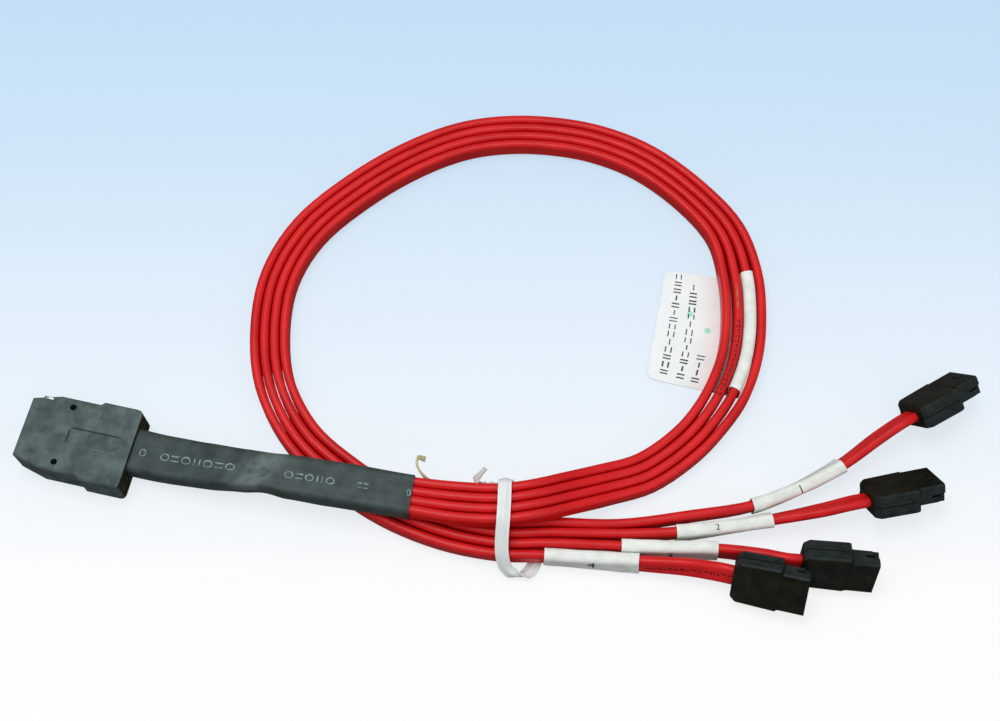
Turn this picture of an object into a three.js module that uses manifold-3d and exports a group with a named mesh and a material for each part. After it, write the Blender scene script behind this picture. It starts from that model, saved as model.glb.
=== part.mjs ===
// Mini SAS breakout cable: a 36-position internal plug, four flat cables in a loop, four 7-position plugs.
// Millimetres, +Z up. It lies on a floor at z 0, as it is laid out for a picture.
import * as THREE from 'three';
import { mergeVertices } from 'three/addons/utils/BufferGeometryUtils.js';
import Module from 'manifold-3d';

const wasm = await Module();
wasm.setup();

// Clearance between pieces that touch on the real cable
const GAP = 0.3;
const CUT = 1;

// Flat cable, standing on its narrow edge in the loop
const CABLE_THICK = 2.6;
const CABLE_WIDE = 6;
const CABLE_CORNER = 0.75;
const CABLE_COUNT = 4;

// Heat-shrink sleeve over the four cables
const SLEEVE_WALL = 0.4;
const SLEEVE_FIT = 0.15;
const SLEEVE_PITCH = 2.8;

// Marker sleeve on each cable, flag label and twist tie
const MARKER_WALL = 0.35;
const MARKER_CORNER = 0.9;
const LABEL_WALL = 0.3;
const LABEL_CORNER_RADIUS = 2;
const TIE_WIDE = 3.8;
const TIE_THICK = 0.9;
const TIE_WIRE = 1;

// Mini SAS plug, x from its front to its rear, y across, z up
const SAS_LENGTH = 32.7;
const SAS_THICK = 11.2;
const SAS_FRONT_WIDTH = 18;
const SAS_BODY_WIDTH = 22.5;
const SAS_REAR_WIDTH = 24.4;
const SAS_TAPER_LENGTH = 8.2;
const SAS_STEP_START = 20;
const SAS_STEP_LENGTH = 1;
const SAS_REAR_RADIUS = 1.6;
const SAS_EDGE = 0.5;
const SAS_WALL = 1.6;
const SAS_REAR_WALL = 2.2;
const SAS_HEADING = THREE.MathUtils.degToRad(-12.8);
const SAS_FRONT_X = -138.4;
const SAS_FRONT_Y = -25.2;
const RECESS_LENGTH = 16.3;
const RECESS_WIDTH = 5.4;
const RECESS_START = 13.6;
const RECESS_DEPTH = 0.25;
const RECESS_CORNER = 1;
const DOWEL_HOLE_RADIUS = 0.95;
const DOWEL_HOLE_DEPTH = 1;
const DOWEL_HOLE_X = 12.5;
const DOWEL_HOLE_INSET = 2.7;
const MOUTH_WIDTH = 16;
const MOUTH_HEIGHT = 6.4;
const MOUTH_DEPTH = 9;
const CARD_WIDTH = 15.2;
const CARD_THICK = 1;
const CARD_SETBACK = 1.2;
const BLOCK_LENGTH = 10;

// Press latch in a channel of the mini SAS plug's floor side: held at its rear, hooks at its front
const LATCH_WIDTH = 8;
const LATCH_THICK = 0.4;
const LATCH_FLOOR_GAP = 0.4;
const LATCH_FRONT_X = 3;
const LATCH_REAR_X = 30;
const LATCH_SEAT_LENGTH = 2.6;
const LATCH_HOOK_WIDTH = 1.4;
const LATCH_HOOK_LENGTH = 1.6;
const LATCH_PAD_X = 12;
const LATCH_PAD_LENGTH = 8;
const LATCH_PAD_HEIGHT = 0.35;
const LATCH_CHANNEL_DEPTH = 2.4;
const LATCH_SIDE_GAP = 0.5;
const CHANNEL_ROOF = 0.8;

// 7-position plug, x from its rear to its front, y across, z through its thickness
const COVER_LENGTH = 13.3;
const COVER_WIDTH = 14.2;
const COVER_THICK = 7.4;
const COVER_REAR_WIDTH = 13.4;
const COVER_CHAMFER = 1.6;
const COVER_EDGE = 0.6;
const HOUSING_LENGTH = 7.4;
const HOUSING_WIDTH = 12.6;
const HOUSING_THICK = 5.6;
const HOUSING_EDGE = 0.5;
const BUMP_LENGTH = 1.8;
const BUMP_WIDTH = 2.6;
const BUMP_HEIGHT = 0.3;
const BUMP_SETBACK = 1.4;
const SIDE_STEP_LENGTH = 1.8;
const SIDE_STEP_DEPTH = 0.7;
const SLOT_WIDTH = 9.4;
const SLOT_HEIGHT = 1.6;
const SLOT_DEPTH = 6.2;
const KEY_WIDTH = 1.2;
const KEY_HEIGHT = 1.2;
const CONTACT_COUNT = 7;
const CONTACT_PITCH = 1.27;
const CONTACT_WIDTH = 0.5;
const CONTACT_THICK = 0.25;
const CONTACT_LENGTH = 4.6;

// Middle of each small plug's rear face, as it is laid out
const PLUG_1_X = 120.3;
const PLUG_1_Y = -21.5;
const PLUG_2_X = 105;
const PLUG_2_Y = -46.8;
const PLUG_3_X = 84.5;
const PLUG_3_Y = -65.2;
const PLUG_4_X = 65.6;
const PLUG_4_Y = -68.5;

// Each small plug's place, then its heading, pitch and roll in degrees
const PLUG_PLACES = [
  { x: PLUG_1_X, y: PLUG_1_Y, heading: 31, pitch: 5.6, roll: -55.7 },
  { x: PLUG_2_X, y: PLUG_2_Y, heading: 11.9, pitch: 2.8, roll: -47 },
  { x: PLUG_3_X, y: PLUG_3_Y, heading: -5.5, pitch: 0.5, roll: 68 },
  { x: PLUG_4_X, y: PLUG_4_Y, heading: -14.7, pitch: -6.6, roll: 52 },
];

// Middle of the four cables, from the mini SAS plug round the loop to the tie: x, y, z, spacing of the cables
const GROUP_ROUTE = [
  [-98, -34.5, 5.9, 2.8],
  [-86, -37.1, 7.8, 2.8],
  [-66, -40.7, 10.7, 2.8],
  [-55, -42.4, 10.8, 2.8],
  [-34, -45.6, 10.8, 2.8],
  [-25, -47, 10.8, 2.8],
  [-12, -48.7, 10.8, 3],
  [0, -49.2, 10.8, 3],
  [10, -47.9, 10.8, 3],
  [20, -44.9, 8.6, 3],
  [30, -41.4, 5.2, 3],
  [42.4, -37.2, 3.6, 3],
  [54.6, -28.6, 3.6, 3.05],
  [62, -20.5, 3.8, 3.2],
  [68, -11.2, 3.8, 3.55],
  [72.4, 0.7, 3.8, 3.55],
  [74.1, 13.6, 3.8, 3.55],
  [73.8, 26.4, 3.8, 3.55],
  [70.2, 41, 3.8, 3.2],
  [60.6, 54.3, 3.4, 3],
  [46, 66.9, 3.2, 3],
  [31.5, 73.7, 3.2, 3],
  [17, 76.8, 3.2, 3],
  [2, 77.3, 3.2, 3],
  [-12.2, 74.9, 3.2, 3],
  [-28, 68, 3.2, 3],
  [-45, 56.4, 3.2, 3],
  [-59.7, 42, 3.2, 3],
  [-67.7, 26, 3.2, 3],
  [-69.7, 9, 3.2, 3],
  [-67.2, -9.3, 3.2, 3],
  [-58.4, -26, 3.2, 3],
  [-46, -37.6, 3.2, 3.1],
  [-32, -47, 3.3, 3.2],
  [-16, -53.8, 3.7, 3.2],
  [0, -57.4, 4.3, 3.1],
];
const SLEEVE_LAST_POINT = 6;
const LABEL_FIRST_POINT = 15;
const LABEL_LAST_POINT = 18;
const LABEL_CABLE = 2;

// Each cable from the tie to its plug: x, y, z, lean of the upper edge to the left in degrees
const TAIL_ROUTES = [
  [
    [14, -52.7, 4.3, 0],
    [34, -53, 3.5, 0],
    [55, -50.4, 3.8, 0],
    [72.6, -47.4, 3.9, -5],
    [86, -42.4, 4.6, -14],
    [99, -35.6, 6, -25],
    [110, -27.9, 7.9, -34],
  ],
  [
    [14, -55.8, 4.3, 0],
    [34, -55.9, 3.5, 0],
    [50.4, -55.4, 3.8, 0],
    [64, -53.9, 4.2, -10],
    [78, -51.8, 5.2, -24],
    [92, -49.6, 7.2, -38],
  ],
  [
    [14, -58.9, 4.3, 0],
    [34.5, -59.6, 3.8, 0],
    [48, -60.3, 4, 3],
    [62, -60.9, 4.8, 8],
    [74, -62.8, 6, 15],
  ],
  [
    [12.5, -62.4, 4.3, 0],
    [26, -63.3, 3.9, 4],
    [39.5, -64.6, 4.8, 14],
    [53, -66.2, 6.8, 28],
  ],
];
const MARKER_PLACES = [[4, 6], [3, 5], [2, 4], [1, 3]];
const STEPS_PER_POINT = 2;
const END_STRAIGHT = 4;

// Twist tie: the loop round the bundle, and its two loose ends
const TIE_LOOP = [
  [1.5, -42.3, 9],
  [1.5, -42.3, 12.6],
  [1.4, -44.2, 14.8],
  [1.2, -49.5, 14.9],
  [0.9, -54.6, 14.8],
  [0.5, -59.3, 12],
  [0.6, -63.4, 8.6],
  [1.8, -66, 4.8],
  [4.2, -67.2, 2.8],
  [7.6, -66.6, 1.6],
  [10.2, -62.6, 0.7],
  [10.4, -56, 0.55],
  [8.6, -51, 0.75],
  [6, -46.6, 3],
  [3.8, -42.6, 5.6],
  [2, -41.5, 8.6],
];
const TIE_KNOT = [
  [2.6, -41.9, 8],
  [-1, -41.4, 9.2],
  [-4.5, -41.2, 9.8],
];
const TIE_THICK_END = [
  [-3.5, -41.2, 9.6],
  [-6.4, -40.8, 10.4],
  [-7.2, -39.6, 12.4],
  [-6, -38.4, 14.4],
  [-3.6, -37.6, 15.4],
];
const TIE_THIN_END = [
  [-3.5, -41.2, 9.8],
  [-12, -40.4, 10],
  [-19, -39.8, 10.8],
  [-22.6, -38, 12.4],
  [-24.6, -34.8, 13.8],
  [-23.6, -32.6, 14.2],
  [-21, -32.8, 14],
];
const TIE_KNOT_WIDTH = 2.6;
const TIE_END_WIDTH = 2.4;

// The label's free corners on the floor, from the far one round to the near one
const LABEL_FAR = [51.5, 30];
const LABEL_NEAR = [44.2, -6];

const COLOURS = {
  sasShell: [0x2b302f, 0.62, 0],
  steel: [0xb9bcc0, 0.35, 1],
  card: [0x1f4a33, 0.5, 0],
  block: [0x1a1c1d, 0.6, 0],
  sleeve: [0x2c3133, 0.55, 0],
  jacket: [0xc4141a, 0.4, 0],
  marker: [0xe6e7df, 0.5, 0],
  label: [0xe4e7e8, 0.55, 0],
  tie: [0xf2f3f2, 0.3, 0],
  cover: [0x17191a, 0.5, 0],
  housing: [0x141617, 0.45, 0],
  contact: [0xc9a24a, 0.3, 1],
};

const root = new THREE.Group();

function material(name) {
  const [color, roughness, metalness] = COLOURS[name];
  return new THREE.MeshStandardMaterial({ color, roughness, metalness });
}

function addPiece(parent, name, look, geometry) {
  const mesh = new THREE.Mesh(geometry, material(look));
  mesh.name = name;
  parent.add(mesh);
  return mesh;
}

// Joins and cuts
function toSolid(geometry) {
  const bare = geometry.clone();
  bare.deleteAttribute('normal');
  bare.deleteAttribute('uv');
  const merged = mergeVertices(bare, 1e-4);
  const vertProperties = Float32Array.from(merged.attributes.position.array);
  const triVerts = Uint32Array.from(merged.index.array);
  return new wasm.Manifold(new wasm.Mesh({ numProp: 3, vertProperties, triVerts }));
}

function toGeometry(solid) {
  const mesh = solid.getMesh();
  const geometry = new THREE.BufferGeometry();
  geometry.setAttribute('position', new THREE.BufferAttribute(Float32Array.from(mesh.vertProperties), 3));
  geometry.setIndex(Array.from(mesh.triVerts));
  geometry.computeVertexNormals();
  return geometry;
}

function cut(geometry, cutters) {
  let solid = toSolid(geometry);
  for (const cutter of cutters) {
    solid = solid.subtract(toSolid(cutter));
  }
  return toGeometry(solid);
}

function join(geometries) {
  let solid = toSolid(geometries[0]);
  for (const geometry of geometries.slice(1)) {
    solid = solid.add(toSolid(geometry));
  }
  return toGeometry(solid);
}

// Simple shapes
function box(x0, x1, y0, y1, z0, z1) {
  const geometry = new THREE.BoxGeometry(x1 - x0, y1 - y0, z1 - z0);
  return geometry.translate((x0 + x1) / 2, (y0 + y1) / 2, (z0 + z1) / 2);
}

function cornerCutOutline(path, halfX, halfY, corner) {
  path.moveTo(halfX, -halfY + corner);
  path.lineTo(halfX, halfY - corner);
  path.lineTo(halfX - corner, halfY);
  path.lineTo(-halfX + corner, halfY);
  path.lineTo(-halfX, halfY - corner);
  path.lineTo(-halfX, -halfY + corner);
  path.lineTo(-halfX + corner, -halfY);
  path.lineTo(halfX - corner, -halfY);
  path.closePath();
  return path;
}

function cornerCutSection(width, height, corner) {
  return cornerCutOutline(new THREE.Shape(), width / 2, height / 2, corner);
}

function hollowSection(width, height, corner, wall) {
  const shape = cornerCutSection(width + 2 * wall, height + 2 * wall, corner + wall / 2);
  shape.holes.push(cornerCutOutline(new THREE.Path(), width / 2, height / 2, corner));
  return shape;
}

// A section swept along stations, each with a point and the section's two directions
function sweep(shape, stations) {
  const steps = stations.length - 1;
  const geometry = new THREE.ExtrudeGeometry(shape, { depth: steps, steps, bevelEnabled: false });
  const position = geometry.attributes.position;
  const place = new THREE.Vector3();
  for (let i = 0; i < position.count; i += 1) {
    const station = stations[Math.round(position.getZ(i))];
    place.copy(station.point);
    place.addScaledVector(station.side, position.getX(i));
    place.addScaledVector(station.up, position.getY(i));
    position.setXYZ(i, place.x, place.y, place.z);
  }
  geometry.computeVertexNormals();
  return geometry;
}

// Stations of a flat cable: upright at lean 0, its upper edge to the left at a positive lean
function cableStations(points, leans) {
  const curve = new THREE.CatmullRomCurve3(points);
  const count = (points.length - 1) * STEPS_PER_POINT;
  const stations = [];
  for (let i = 0; i <= count; i += 1) {
    const along = curve.getTangent(i / count);
    const upright = new THREE.Vector3(0, 0, 1).addScaledVector(along, -along.z).normalize();
    const left = new THREE.Vector3().crossVectors(upright, along);
    const index = Math.min(Math.floor(i / STEPS_PER_POINT), points.length - 2);
    const share = i / STEPS_PER_POINT - index;
    const lean = THREE.MathUtils.degToRad(THREE.MathUtils.lerp(leans[index], leans[index + 1], share));
    const up = upright.clone().multiplyScalar(Math.cos(lean)).addScaledVector(left, Math.sin(lean));
    const side = left.clone().multiplyScalar(Math.cos(lean)).addScaledVector(upright, -Math.sin(lean));
    stations.push({ point: curve.getPoint(i / count), side, up });
  }
  return stations;
}

// Stations of a ribbon or wire whose wide side keeps to one direction
function ribbonStations(route, wide) {
  const curve = new THREE.CatmullRomCurve3(route.map((p) => new THREE.Vector3(...p)));
  const count = (route.length - 1) * STEPS_PER_POINT;
  const stations = [];
  for (let i = 0; i <= count; i += 1) {
    const along = curve.getTangent(i / count);
    const side = wide.clone().addScaledVector(along, -along.dot(wide)).normalize();
    const up = new THREE.Vector3().crossVectors(along, side);
    stations.push({ point: curve.getPoint(i / count), side, up });
  }
  return stations;
}

// Mini SAS plug
function sasOutline() {
  const front = SAS_FRONT_WIDTH / 2;
  const body = SAS_BODY_WIDTH / 2;
  const rear = SAS_REAR_WIDTH / 2;
  const shape = new THREE.Shape();
  shape.moveTo(0, -front);
  shape.lineTo(SAS_TAPER_LENGTH, -body);
  shape.lineTo(SAS_STEP_START, -body);
  shape.lineTo(SAS_STEP_START + SAS_STEP_LENGTH, -rear);
  shape.lineTo(SAS_LENGTH - SAS_REAR_RADIUS, -rear);
  shape.quadraticCurveTo(SAS_LENGTH, -rear, SAS_LENGTH, -rear + SAS_REAR_RADIUS);
  shape.lineTo(SAS_LENGTH, rear - SAS_REAR_RADIUS);
  shape.quadraticCurveTo(SAS_LENGTH, rear, SAS_LENGTH - SAS_REAR_RADIUS, rear);
  shape.lineTo(SAS_STEP_START + SAS_STEP_LENGTH, rear);
  shape.lineTo(SAS_STEP_START, body);
  shape.lineTo(SAS_TAPER_LENGTH, body);
  shape.lineTo(0, front);
  shape.closePath();
  return shape;
}

function sasBody() {
  return new THREE.ExtrudeGeometry(sasOutline(), {
    depth: SAS_THICK - 2 * SAS_EDGE,
    curveSegments: 3,
    bevelThickness: SAS_EDGE,
    bevelSize: SAS_EDGE,
    bevelOffset: -SAS_EDGE,
    bevelSegments: 1,
  }).translate(0, 0, SAS_EDGE);
}

const sleeveInnerWidth = CABLE_THICK + (CABLE_COUNT - 1) * SLEEVE_PITCH + 2 * SLEEVE_FIT;
const sleeveInnerHeight = CABLE_WIDE + 2 * SLEEVE_FIT;
const sasMiddle = SAS_THICK / 2;
const blockRear = SAS_LENGTH - SAS_REAR_WALL;
const blockFront = blockRear - BLOCK_LENGTH;
const roomHalfWidth = SAS_REAR_WIDTH / 2 - SAS_WALL - SAS_EDGE;
const roomLow = LATCH_CHANNEL_DEPTH + CHANNEL_ROOF;
const roomHigh = SAS_THICK - SAS_WALL;
const latchLow = LATCH_FLOOR_GAP + LATCH_PAD_HEIGHT;
const latchTop = latchLow + LATCH_THICK;

function sasRooms() {
  const exitHalfWidth = sleeveInnerWidth / 2 + SLEEVE_WALL + GAP;
  const exitHalfHeight = sleeveInnerHeight / 2 + SLEEVE_WALL + GAP;
  const mouthHalfWidth = MOUTH_WIDTH / 2;
  const mouthLow = sasMiddle - MOUTH_HEIGHT / 2;
  const cardHalf = CARD_WIDTH / 2 + GAP;
  const slotLow = sasMiddle - CARD_THICK / 2 - GAP;
  return [
    box(-CUT, MOUTH_DEPTH, -mouthHalfWidth, mouthHalfWidth, mouthLow, mouthLow + MOUTH_HEIGHT),
    box(MOUTH_DEPTH - CUT, blockFront, -cardHalf, cardHalf, slotLow, slotLow + CARD_THICK + 2 * GAP),
    box(blockFront - GAP, blockRear, -roomHalfWidth, roomHalfWidth, roomLow, roomHigh),
    box(blockRear - GAP, SAS_LENGTH + CUT, -exitHalfWidth, exitHalfWidth,
      sasMiddle - exitHalfHeight, sasMiddle + exitHalfHeight),
  ];
}

function dowelHole(side) {
  const hole = new THREE.CylinderGeometry(DOWEL_HOLE_RADIUS, DOWEL_HOLE_RADIUS, 2 * DOWEL_HOLE_DEPTH, 16);
  const across = side * (SAS_BODY_WIDTH / 2 - DOWEL_HOLE_INSET);
  return hole.rotateX(Math.PI / 2).translate(DOWEL_HOLE_X, across, SAS_THICK);
}

function recess() {
  const shape = cornerCutSection(RECESS_LENGTH, RECESS_WIDTH, RECESS_CORNER);
  const cutter = new THREE.ExtrudeGeometry(shape, { depth: CUT, bevelEnabled: false });
  return cutter.translate(RECESS_START + RECESS_LENGTH / 2, 0, SAS_THICK - RECESS_DEPTH);
}

function sasUpperShell() {
  const keep = box(-CUT, SAS_LENGTH + CUT, -SAS_REAR_WIDTH, SAS_REAR_WIDTH, -CUT, sasMiddle + GAP / 2);
  return cut(sasBody(), [keep, ...sasRooms(), dowelHole(1), dowelHole(-1), recess()]);
}

// Deep under the latch's free length, and shallow where the latch is held
function latchChannel() {
  const front = LATCH_FRONT_X - LATCH_SIDE_GAP;
  const rear = LATCH_REAR_X + LATCH_SIDE_GAP;
  const seat = LATCH_REAR_X - LATCH_SEAT_LENGTH;
  const half = LATCH_WIDTH / 2 + LATCH_SIDE_GAP;
  return [
    box(front, seat, -half, half, -CUT, LATCH_CHANNEL_DEPTH),
    box(seat - CUT, rear, -half, half, -CUT, latchTop + GAP),
  ];
}

function sasLowerShell() {
  const low = sasMiddle - GAP / 2;
  const keep = box(-CUT, SAS_LENGTH + CUT, -SAS_REAR_WIDTH, SAS_REAR_WIDTH, low, SAS_THICK + CUT);
  return cut(sasBody(), [keep, ...sasRooms(), ...latchChannel()]);
}

function sasCard() {
  const half = CARD_WIDTH / 2;
  const low = sasMiddle - CARD_THICK / 2;
  return box(CARD_SETBACK, blockFront - GAP, -half, half, low, low + CARD_THICK);
}

function sasBlock() {
  const half = roomHalfWidth - GAP;
  return box(blockFront, blockRear - GAP, -half, half, roomLow + GAP, roomHigh - GAP);
}

function sasLatch() {
  const half = LATCH_WIDTH / 2;
  const inset = LATCH_HOOK_WIDTH / 2;
  const within = latchLow + LATCH_THICK / 2;
  const padEnd = LATCH_PAD_X + LATCH_PAD_LENGTH;
  const hookEnd = LATCH_FRONT_X + LATCH_HOOK_LENGTH;
  return join([
    box(LATCH_FRONT_X, LATCH_REAR_X, -half, half, latchLow, latchTop),
    box(LATCH_PAD_X, padEnd, -half + inset, half - inset, LATCH_FLOOR_GAP, within),
    box(LATCH_FRONT_X, hookEnd, -half, -half + LATCH_HOOK_WIDTH, LATCH_FLOOR_GAP, within),
    box(LATCH_FRONT_X, hookEnd, half - LATCH_HOOK_WIDTH, half, LATCH_FLOOR_GAP, within),
  ]);
}

function sasPlug() {
  const plug = new THREE.Group();
  addPiece(plug, 'sas_upper_shell', 'sasShell', sasUpperShell());
  addPiece(plug, 'sas_lower_shell', 'sasShell', sasLowerShell());
  addPiece(plug, 'sas_card', 'card', sasCard());
  addPiece(plug, 'sas_cable_block', 'block', sasBlock());
  addPiece(plug, 'sas_latch', 'steel', sasLatch());
  plug.position.set(SAS_FRONT_X, SAS_FRONT_Y, 0);
  plug.rotation.z = SAS_HEADING;
  return plug;
}

// 7-position plug
function coverBody() {
  const rear = COVER_REAR_WIDTH / 2;
  const front = COVER_WIDTH / 2;
  const shape = new THREE.Shape();
  shape.moveTo(0, -rear + COVER_CHAMFER);
  shape.lineTo(COVER_CHAMFER, -rear);
  shape.lineTo(COVER_LENGTH, -front);
  shape.lineTo(COVER_LENGTH, front);
  shape.lineTo(COVER_CHAMFER, rear);
  shape.lineTo(0, rear - COVER_CHAMFER);
  shape.closePath();
  return new THREE.ExtrudeGeometry(shape, {
    depth: COVER_THICK - 2 * COVER_EDGE,
    bevelThickness: COVER_EDGE,
    bevelSize: COVER_EDGE,
    bevelOffset: -COVER_EDGE,
    bevelSegments: 1,
  }).translate(0, 0, COVER_EDGE - COVER_THICK / 2);
}

const housingTop = COVER_THICK / 2;
const housingMiddle = housingTop - HOUSING_THICK / 2;
const housingRear = COVER_LENGTH + GAP;
const housingFront = housingRear + HOUSING_LENGTH;
const contactLow = housingMiddle + SLOT_HEIGHT / 2 + GAP / 2;

function contactAcross(index) {
  return (index - (CONTACT_COUNT - 1) / 2) * CONTACT_PITCH;
}

function slotCutters() {
  const rear = housingFront - SLOT_DEPTH;
  const front = housingFront + CUT;
  const half = SLOT_WIDTH / 2;
  const low = housingMiddle - SLOT_HEIGHT / 2;
  const high = housingMiddle + SLOT_HEIGHT / 2;
  const cutters = [
    box(rear, front, -half, half, low, high),
    box(rear, front, half - KEY_WIDTH, half, low - KEY_HEIGHT, low + CUT / 2),
  ];
  for (let i = 0; i < CONTACT_COUNT; i += 1) {
    const y = contactAcross(i);
    const reach = CONTACT_WIDTH / 2 + GAP / 2;
    const roof = contactLow + CONTACT_THICK + GAP;
    cutters.push(box(rear, housingFront - GAP, y - reach, y + reach, high - CUT / 2, roof));
  }
  return cutters;
}

function sideStep(side) {
  const outer = (side * HOUSING_WIDTH) / 2;
  const inner = outer - side * SIDE_STEP_DEPTH;
  const low = housingMiddle - HOUSING_THICK / 2;
  return box(housingFront - SIDE_STEP_LENGTH, housingFront + CUT, Math.min(inner, outer + side * CUT),
    Math.max(inner, outer + side * CUT), low - CUT, low + HOUSING_THICK / 2);
}

function housingBody() {
  const shape = cornerCutSection(HOUSING_WIDTH, HOUSING_THICK, HOUSING_EDGE);
  const body = new THREE.ExtrudeGeometry(shape, { depth: HOUSING_LENGTH, bevelEnabled: false });
  body.rotateX(Math.PI / 2).rotateZ(Math.PI / 2).translate(housingRear, 0, housingMiddle);
  const bumpFront = housingFront - BUMP_SETBACK;
  const bump = box(bumpFront - BUMP_LENGTH, bumpFront, -BUMP_WIDTH / 2, BUMP_WIDTH / 2,
    housingTop - CUT, housingTop + BUMP_HEIGHT);
  return cut(join([body, bump]), [...slotCutters(), sideStep(1), sideStep(-1)]);
}

function contactStrip(index) {
  const y = contactAcross(index);
  const rear = housingFront - SLOT_DEPTH + GAP;
  const half = CONTACT_WIDTH / 2;
  return box(rear, rear + CONTACT_LENGTH, y - half, y + half, contactLow, contactLow + CONTACT_THICK);
}

function smallPlug(number, place) {
  const plug = new THREE.Group();
  addPiece(plug, `plug_${number}_cover`, 'cover', coverBody());
  addPiece(plug, `plug_${number}_housing`, 'housing', housingBody());
  for (let i = 0; i < CONTACT_COUNT; i += 1) {
    addPiece(plug, `plug_${number}_contact_${i + 1}`, 'contact', contactStrip(i));
  }
  plug.rotation.order = 'ZYX';
  plug.rotation.set(
    THREE.MathUtils.degToRad(place.roll),
    THREE.MathUtils.degToRad(place.pitch),
    THREE.MathUtils.degToRad(place.heading),
  );
  plug.position.set(place.x, place.y, 0);
  const reach = new THREE.Box3().setFromObject(plug, true);
  plug.position.z = -reach.min.z;
  plug.updateMatrixWorld(true);
  return plug;
}

// Cables
function sasExitPoint() {
  const exit = new THREE.Vector3(blockRear, 0, sasMiddle);
  exit.applyAxisAngle(new THREE.Vector3(0, 0, 1), SAS_HEADING);
  return exit.add(new THREE.Vector3(SAS_FRONT_X, SAS_FRONT_Y, 0));
}

function groupPoints() {
  const exit = sasExitPoint();
  const route = [[exit.x, exit.y, exit.z, SLEEVE_PITCH], ...GROUP_ROUTE];
  return route.map(([x, y, z, pitch], i) => {
    const before = route[Math.max(i - 1, 0)];
    const after = route[Math.min(i + 1, route.length - 1)];
    const ahead = new THREE.Vector3(after[0] - before[0], after[1] - before[1], 0).normalize();
    const left = new THREE.Vector3(-ahead.y, ahead.x, 0);
    return { point: new THREE.Vector3(x, y, z), left, pitch };
  });
}

function cableRoute(index, group, plug) {
  const points = group.map((g) => {
    const across = ((CABLE_COUNT - 1) / 2 - index) * g.pitch;
    return g.point.clone().addScaledVector(g.left, across);
  });
  const leans = points.map(() => 0);
  for (const [x, y, z, lean] of TAIL_ROUTES[index]) {
    points.push(new THREE.Vector3(x, y, z));
    leans.push(lean);
  }
  const endLean = PLUG_PLACES[index].roll < 0 ? -90 - PLUG_PLACES[index].roll : 90 - PLUG_PLACES[index].roll;
  for (const back of [GAP + END_STRAIGHT, GAP]) {
    points.push(plug.localToWorld(new THREE.Vector3(-back, 0, 0)));
    leans.push(endLean);
  }
  return { points, leans };
}

function markerSection(clear, wall) {
  return hollowSection(CABLE_THICK + 2 * clear, CABLE_WIDE + 2 * clear, MARKER_CORNER, wall);
}

function markerSleeve(index, group, stations) {
  const [first, last] = MARKER_PLACES[index];
  const start = (group.length - 1 + first) * STEPS_PER_POINT;
  const end = (group.length - 1 + last) * STEPS_PER_POINT;
  return sweep(markerSection(GAP, MARKER_WALL), stations.slice(start, end + 1));
}

function shrinkSleeve(group) {
  const stations = cableStations(group.map((g) => g.point), group.map(() => 0));
  const shape = hollowSection(sleeveInnerWidth, sleeveInnerHeight, CABLE_CORNER, SLEEVE_WALL);
  return sweep(shape, stations.slice(0, SLEEVE_LAST_POINT * STEPS_PER_POINT + 1));
}

// Flag label: a wrap round one cable, and a flag flat on the floor inside the loop
function flagLabel(stations) {
  const first = LABEL_FIRST_POINT * STEPS_PER_POINT;
  const last = LABEL_LAST_POINT * STEPS_PER_POINT;
  const wrapped = stations.slice(first, last + 1);
  const wrap = sweep(markerSection(GAP, LABEL_WALL), wrapped);
  const shape = new THREE.Shape();
  const radius = LABEL_CORNER_RADIUS;
  shape.moveTo(LABEL_FAR[0] + radius, LABEL_FAR[1] - radius * 0.15);
  shape.quadraticCurveTo(LABEL_FAR[0], LABEL_FAR[1], LABEL_FAR[0] - radius * 0.2, LABEL_FAR[1] - radius);
  shape.lineTo(LABEL_NEAR[0] + radius * 0.2, LABEL_NEAR[1] + radius);
  shape.quadraticCurveTo(LABEL_NEAR[0], LABEL_NEAR[1], LABEL_NEAR[0] + radius, LABEL_NEAR[1] - radius * 0.25);
  for (const station of wrapped) {
    shape.lineTo(station.point.x, station.point.y);
  }
  shape.closePath();
  const low = wrapped[0].point.z - CABLE_WIDE / 2 - GAP - LABEL_WALL;
  const flag = new THREE.ExtrudeGeometry(shape, { depth: LABEL_WALL, bevelEnabled: false, curveSegments: 3 });
  return join([wrap, flag.translate(0, 0, low)]);
}

// Twist tie
function twistTie() {
  const alongBundle = new THREE.Vector3(1, 0, 0);
  const upward = new THREE.Vector3(0, 0.5, 1).normalize();
  const loop = sweep(cornerCutSection(TIE_WIDE, TIE_THICK, 0.25), ribbonStations(TIE_LOOP, alongBundle));
  const knotSection = cornerCutSection(TIE_KNOT_WIDTH, TIE_KNOT_WIDTH / 2, 0.4);
  const knot = sweep(knotSection, ribbonStations(TIE_KNOT, upward));
  const wide = sweep(cornerCutSection(TIE_END_WIDTH, TIE_THICK, 0.25), ribbonStations(TIE_THICK_END, upward));
  const thin = sweep(cornerCutSection(TIE_WIRE, TIE_WIRE, 0.3), ribbonStations(TIE_THIN_END, upward));
  return join([loop, knot, wide, thin]);
}

const sas = sasPlug();
root.add(sas);
const plugs = PLUG_PLACES.map((place, i) => smallPlug(i + 1, place));
for (const plug of plugs) {
  root.add(plug);
}

// The object's origin is under the middle of its plugs
root.updateMatrixWorld(true);
const reach = new THREE.Box3().setFromObject(root, true);
const middle = reach.getCenter(new THREE.Vector3());

const group = groupPoints();
addPiece(root, 'heat_shrink_sleeve', 'sleeve', shrinkSleeve(group));
for (let i = 0; i < CABLE_COUNT; i += 1) {
  const { points, leans } = cableRoute(i, group, plugs[i]);
  const stations = cableStations(points, leans);
  const section = cornerCutSection(CABLE_THICK, CABLE_WIDE, CABLE_CORNER);
  addPiece(root, `cable_${i + 1}`, 'jacket', sweep(section, stations));
  addPiece(root, `marker_sleeve_${i + 1}`, 'marker', markerSleeve(i, group, stations));
  if (i === LABEL_CABLE) {
    addPiece(root, 'flag_label', 'label', flagLabel(stations));
  }
}
addPiece(root, 'twist_tie', 'tie', twistTie());

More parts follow.
